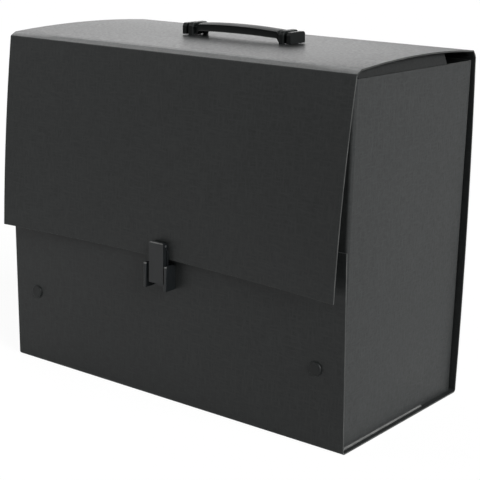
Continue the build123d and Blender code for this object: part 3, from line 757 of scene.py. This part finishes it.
@dataclass
class Rivets:
    """The snap rivets, which hold the side panels in the outer sheet."""

    palette: Palette
    rim: float = 0.2 * MM

    def build(self) -> None:
        """Gives the rivets their moulded finish."""
        finish = self.palette.rivet
        for node in ("front_rivet_studs", "back_rivet_studs", "front_rivet_caps", "back_rivet_caps"):
            rounded_copy(node, "case", finish, finish, self.rim)


@dataclass
class Latch:
    """The flip latch on the flap and its catch on the front panel."""

    palette: Palette
    moulded_rim: float = 0.35 * MM
    plate_rim: float = 0.25 * MM
    rivet_rim: float = 0.15 * MM
    pin_rim: float = 0.2 * MM
    # how far down the painted highlight reaches from the top of the lever and of the catch
    highlight_depth: float = 0.9 * MM
    lever_top: float = 144.1 * MM
    lever_front: float = -102.1 * MM
    catch_top: float = 125.1 * MM
    rail_front: float = -103.4 * MM

    def build(self) -> None:
        """Builds and dresses the latch."""
        finish, edge = self.palette.latch, self.palette.latch_edge
        rivet, steel = self.palette.rivet, self.palette.steel
        lever = rounded_copy("latch_lever", "latch_lever", finish, edge, self.moulded_rim)
        rounded_copy("latch_base", "flap", finish, edge, self.plate_rim)
        catch = rounded_copy("catch_body", "case", finish, edge, self.moulded_rim)
        # painted highlights on the lever's top front rim and on the catch's rail tips
        self._paint_highlight(lever, self.lever_top - self.highlight_depth, self.lever_front)
        self._paint_highlight(catch, self.catch_top - self.highlight_depth, self.rail_front)
        rounded_copy("latch_backing_plate", "flap", finish, edge, self.plate_rim)
        rounded_copy("catch_backing_plate", "case", finish, edge, self.plate_rim)
        rounded_copy("latch_rivets", "flap", rivet, rivet, self.rivet_rim)
        rounded_copy("catch_rivets", "case", rivet, rivet, self.rivet_rim)
        rounded_copy("latch_pin", "flap", steel, steel, self.pin_rim)

    def _paint_highlight(self, piece: bpy.types.Object, above: float, front: float) -> None:
        """Paints a highlight on the upper front rim of a piece, in the painted highlight finish.

        Args:
            piece: the lever or the catch.
            above: the height of the rim's lower border.
            front: the Y of its rear border.
        """
        piece.data.materials.append(self.palette.painted_highlight)
        bpy.context.view_layer.update()
        open_whole(piece)
        bpy.ops.mesh.bisect(plane_co=(0, 0, above), plane_no=(0, 0, 1))
        bpy.ops.mesh.select_all(action="SELECT")
        bpy.ops.mesh.bisect(plane_co=(0, front, 0), plane_no=(0, 1, 0))
        bpy.ops.object.mode_set(mode="OBJECT")

        def gets_painted_highlight(face: bpy.types.MeshPolygon) -> bool:
            """Says whether a face is in the rim's upper front part, which gets the painted highlight."""
            centre = piece.matrix_world @ face.center
            return centre.z > above and centre.y < front

        paint_faces(piece, PAINTED_LIGHT_SLOT, gets_painted_highlight)


@dataclass
class Handle:
    """The flexible strap on the lid with its two heads and its two loops.

    The foot is the height of the lid's top at the heads, and the other heights are above it.
    """

    palette: Palette
    foot: float = 304.27 * MM
    middle_y: float = 10.5 * MM
    strap_depth: float = 17.0 * MM
    strap_reach: float = 54.0 * MM
    strap_rim: float = 0.4 * MM
    head_rim: float = 1.6 * MM
    loop_rim: float = 1.0 * MM
    strip_rim: float = 0.3 * MM
    loop_inner_x: float = 46.5 * MM
    neck_run: float = 2.5 * MM
    neck_top: float = 8.8 * MM
    neck_foot: float = 0.9 * MM
    top_middle: float = 12.6 * MM
    top_fall: float = 1.7 * MM
    crown: float = 1.3 * MM
    under_middle: float = 5.0 * MM
    under_neck: float = 3.6 * MM
    lip: float = 1.1 * MM
    hollow: float = 0.5 * MM
    grip_end_x: float = 12.0 * MM
    bend_end_x: float = 45.0 * MM
    rings: int = 24
    cuts_across: tuple[float, ...] = (-0.7, -0.4, 0.0, 0.4, 0.7)

    def build(self) -> None:
        """Builds and dresses the handle."""
        finish, edge = self.palette.handle, self.palette.handle_edge
        for side in Side:
            word = side.word
            self._strap_half(side)
            rounded_copy(f"handle_strap_end_{word}", f"strap_end_{word}", finish, edge, self.head_rim)
            rounded_copy(f"handle_loop_{word}", "lid", finish, edge, self.loop_rim)
        rounded_copy("handle_backing_strip", "lid", finish, edge, self.strip_rim)

    def _strap_half(self, side: Side) -> None:
        """One half of the strap, from the middle into the loop.

        Args:
            side: which half.
        """
        low, high = self.foot + self.under_middle, self.foot + self.top_middle
        bpy.ops.object.select_all(action="DESELECT")
        bpy.ops.mesh.primitive_cube_add(
            size=1.0,
            location=(side.value * self.strap_reach / 2, self.middle_y, (low + high) / 2),
            scale=(self.strap_reach, self.strap_depth, high - low),
        )
        strap = bpy.context.object
        strap.name = f"handle_strap_{side.word}"
        bpy.ops.object.transform_apply(location=True, rotation=True, scale=True)
        self._cut_rings(strap, side)
        self._arch(strap, (low + high) / 2)
        self._hollow_faces(strap)
        strap.data.materials.append(self.palette.handle)
        strap.data.materials.append(self.palette.handle_edge)
        round_edges(strap, self.strap_rim)
        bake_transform(strap)
        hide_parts("handle_grip")
        LOG.info("%s: %d faces", strap.name, len(strap.data.polygons))

    def _cut_rings(self, strap: bpy.types.Object, side: Side) -> None:
        """Cuts the strap across its length and along its top, and opens its end in the middle.

        Args:
            strap: the half strap.
            side: which half.
        """
        open_whole(strap)
        for index in range(1, self.rings):
            x = side.value * self.strap_reach * index / self.rings
            bpy.ops.mesh.select_all(action="SELECT")
            bpy.ops.mesh.bisect(plane_co=(x, 0, 0), plane_no=(1, 0, 0))
        for share in self.cuts_across:
            y = self.middle_y + share * self.strap_depth / 2
            bpy.ops.mesh.select_all(action="SELECT")
            bpy.ops.mesh.bisect(plane_co=(0, y, 0), plane_no=(0, 1, 0))
        bpy.ops.object.mode_set(mode="OBJECT")
        near = self.strap_reach / self.rings / 2
        select_faces(strap, lambda face: abs(face.center.x) < near and abs(face.normal.x) > SQUARE_ON)
        bpy.ops.mesh.delete(type="FACE")
        close_faces()

    def _arch(self, strap: bpy.types.Object, middle_z: float) -> None:
        """Moves the corners of the strap's rings up or down to its arched, crowned shape.

        Args:
            strap: the half strap.
            middle_z: the height between the corners of its top and those of its underside.
        """
        for index, (x, y, z) in enumerate([vertex.co.copy() for vertex in strap.data.vertices]):
            height = self._top(abs(x), y) if z > middle_z else self._underside(abs(x))
            self._lift(strap, index, self.foot + height - z)

    def _is_neck(self, x: float) -> bool:
        """Says whether the strap has come down to its neck at a distance from its middle."""
        return x >= self.loop_inner_x - self.neck_run

    def _top(self, x: float, y: float) -> float:
        """The height of the strap's top, lower at its front and rear edge and in the neck.

        Args:
            x: the distance from the strap's middle.
            y: the place across the strap.

        Returns:
            The height.
        """
        across = (y - self.middle_y) / (self.strap_depth / 2)
        arched = self.top_middle - self.top_fall * (x / self.loop_inner_x) ** 2
        return (self.neck_top if self._is_neck(x) else arched) - self.crown * across * across

    def _underside(self, x: float) -> float:
        """The height of the strap's underside.

        Args:
            x: the distance from the strap's middle.

        Returns:
            The height.
        """
        if self._is_neck(x):
            return self.neck_foot
        return self.under_middle + (self.under_neck - self.under_middle) * (x / self.strap_reach) ** 2

    def _lift(self, strap: bpy.types.Object, index: int, rise: float) -> None:
        """Moves one corner up.

        Args:
            strap: the half strap.
            index: the corner's number.
            rise: how far.
        """
        select_only(strap)
        for elements in (strap.data.vertices, strap.data.edges, strap.data.polygons):
            elements.foreach_set("select", [False] * len(elements))
        strap.data.vertices[index].select = True
        bpy.ops.object.mode_set(mode="EDIT")
        bpy.ops.transform.translate(value=(0, 0, rise))
        bpy.ops.object.mode_set(mode="OBJECT")

    def _hollow_faces(self, strap: bpy.types.Object) -> None:
        """Sinks the strap's front and rear face between a lip above and a lip below.

        Args:
            strap: the half strap.
        """
        for sign in (-1, 1):
            select_faces(strap, lambda face, sign=sign: face.normal.y * sign > SQUARE_ON)
            bpy.ops.mesh.inset(thickness=self.lip, depth=-self.hollow, use_boundary=False)
            close_faces()


@dataclass(frozen=True)
class Sun:
    """A wide soft sun.

    Attributes:
        name: its name.
        towards: the direction in which it stands.
        strength: how bright it is.
        spread: how wide it looks, in degrees.
    """

    name: str
    towards: Triple
    strength: float
    spread: float


@dataclass
class Studio:
    """The white floor and surroundings, the lamps and the camera."""

    camera_place: Triple = (0.70905, -0.90262, 0.43092)
    camera_right: Triple = (0.78766, 0.61594, 0.01447)
    camera_up: Triple = (-0.16934, 0.19385, 0.96631)
    lens: float = 99.39
    sensor: float = 36.0
    ambient: float = 0.03
    mirrored: float = 0.50
    seen: float = 1.0
    floor_size: float = 24.0
    floor_white: float = 0.86
    floor_glow: float = 0.92
    glow_strength: float = 1.03
    right_sun: Sun = Sun("right", (0.85, -0.15, 0.50), 4.3, 40.0)
    back_sun: Sun = Sun("back", (-0.75, 0.60, 0.35), 0.87, 50.0)
    softbox_place: Triple = (-0.62, -0.62, 0.72)
    softbox_target: Triple = (-0.15, -0.09, 0.20)
    softbox_size: float = 0.35
    softbox_power: float = 1.7

    def build(self) -> None:
        """Builds everything round the object."""
        bpy.context.scene.view_settings.view_transform = "Standard"
        self._world()
        self._floor()
        self._lamps()
        self._camera()
        LOG.info("floor, lamps and camera")

    def _world(self) -> None:
        """White surroundings, at full strength to the eye, less in reflections and faint as a light."""
        world = bpy.data.worlds.new("surroundings")
        bpy.context.scene.world = world
        world.use_nodes = True
        tree = world.node_tree
        tree.nodes.clear()
        path = tree.nodes.new("ShaderNodeLightPath")
        out = tree.nodes.new("ShaderNodeOutputWorld")
        lit = self._sky(tree, self.ambient)
        for ray, strength in (("Is Glossy Ray", self.mirrored), ("Is Camera Ray", self.seen)):
            mix = tree.nodes.new("ShaderNodeMixShader")
            tree.links.new(path.outputs[ray], mix.inputs["Fac"])
            tree.links.new(lit.outputs[0], mix.inputs[1])
            tree.links.new(self._sky(tree, strength).outputs[0], mix.inputs[2])
            lit = mix
        tree.links.new(lit.outputs["Shader"], out.inputs["Surface"])

    def _sky(self, tree: bpy.types.NodeTree, strength: float) -> bpy.types.Node:
        """A plain white background of a given strength.

        Args:
            tree: the world's node tree.
            strength: how bright it is.

        Returns:
            The background node.
        """
        node = tree.nodes.new("ShaderNodeBackground")
        node.inputs["Color"].default_value = (1, 1, 1, 1)
        node.inputs["Strength"].default_value = strength
        return node

    def _floor(self) -> None:
        """A white floor that still takes the object's shadow."""
        bpy.ops.object.select_all(action="DESELECT")
        bpy.ops.mesh.primitive_plane_add(size=self.floor_size, location=(0, 0, 0))
        floor = bpy.context.object
        floor.name = "floor"
        recipe = Recipe("floor_paper")
        white = self.floor_white
        paper = recipe.add("ShaderNodeBsdfDiffuse", Color=(white, white, white, 1))
        glow = recipe.add("ShaderNodeEmission", Color=(1, 1, 1, 1), Strength=self.glow_strength)
        path = recipe.add("ShaderNodeLightPath")
        share = recipe.add("ShaderNodeMath", operation="MULTIPLY")
        recipe.tree.links.new(path.outputs["Is Camera Ray"], share.inputs[0])
        share.inputs[1].default_value = self.floor_glow
        mix = recipe.add("ShaderNodeMixShader", Fac=share.outputs["Value"])
        recipe.tree.links.new(paper.outputs["BSDF"], mix.inputs[1])
        recipe.tree.links.new(glow.outputs["Emission"], mix.inputs[2])
        recipe.tree.links.new(mix.outputs["Shader"], recipe.output.inputs["Surface"])
        floor.data.materials.append(recipe.material)

    def _lamps(self) -> None:
        """Wide soft suns from the right and from low behind, and a softbox at the upper left in front."""
        for sun in (self.right_sun, self.back_sun):
            lamp = bpy.data.lights.new(sun.name, "SUN")
            lamp.energy = sun.strength
            lamp.angle = math.radians(sun.spread)
            self._aim(lamp, Vector(), Vector(sun.towards))
        box = bpy.data.lights.new("softbox", "AREA")
        box.shape = "SQUARE"
        box.size = self.softbox_size
        box.energy = self.softbox_power
        place = Vector(self.softbox_place)
        self._aim(box, place, place - Vector(self.softbox_target))

    def _aim(self, lamp: bpy.types.Light, place: Vector, back: Vector) -> None:
        """Stands a lamp in the scene.

        Args:
            lamp: the lamp.
            place: where it stands.
            back: the direction opposite to the one it shines in.
        """
        stand = bpy.data.objects.new(lamp.name, lamp)
        bpy.context.scene.collection.objects.link(stand)
        stand.location = place
        stand.rotation_euler = back.to_track_quat("Z", "Y").to_euler()

    def _camera(self) -> None:
        """The photograph's camera."""
        data = bpy.data.cameras.new("camera")
        data.lens = self.lens
        data.sensor_width = self.sensor
        camera = bpy.data.objects.new("camera", data)
        bpy.context.scene.collection.objects.link(camera)
        right = Vector(self.camera_right).normalized()
        up = Vector(self.camera_up)
        up = (up - right * up.dot(right)).normalized()
        turn = Matrix((right, up, right.cross(up))).transposed()
        camera.matrix_world = Matrix.Translation(self.camera_place) @ turn.to_4x4()
        bpy.context.scene.camera = camera


def main() -> None:
    """Builds the case and its surroundings."""
    logging.basicConfig(level=logging.INFO, format="%(message)s")
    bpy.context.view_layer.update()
    palette = Palette()
    Sheets(palette).build()
    Rivets(palette).build()
    Latch(palette).build()
    Handle(palette).build()
    Studio().build()


if __name__ == "__main__":
    main()
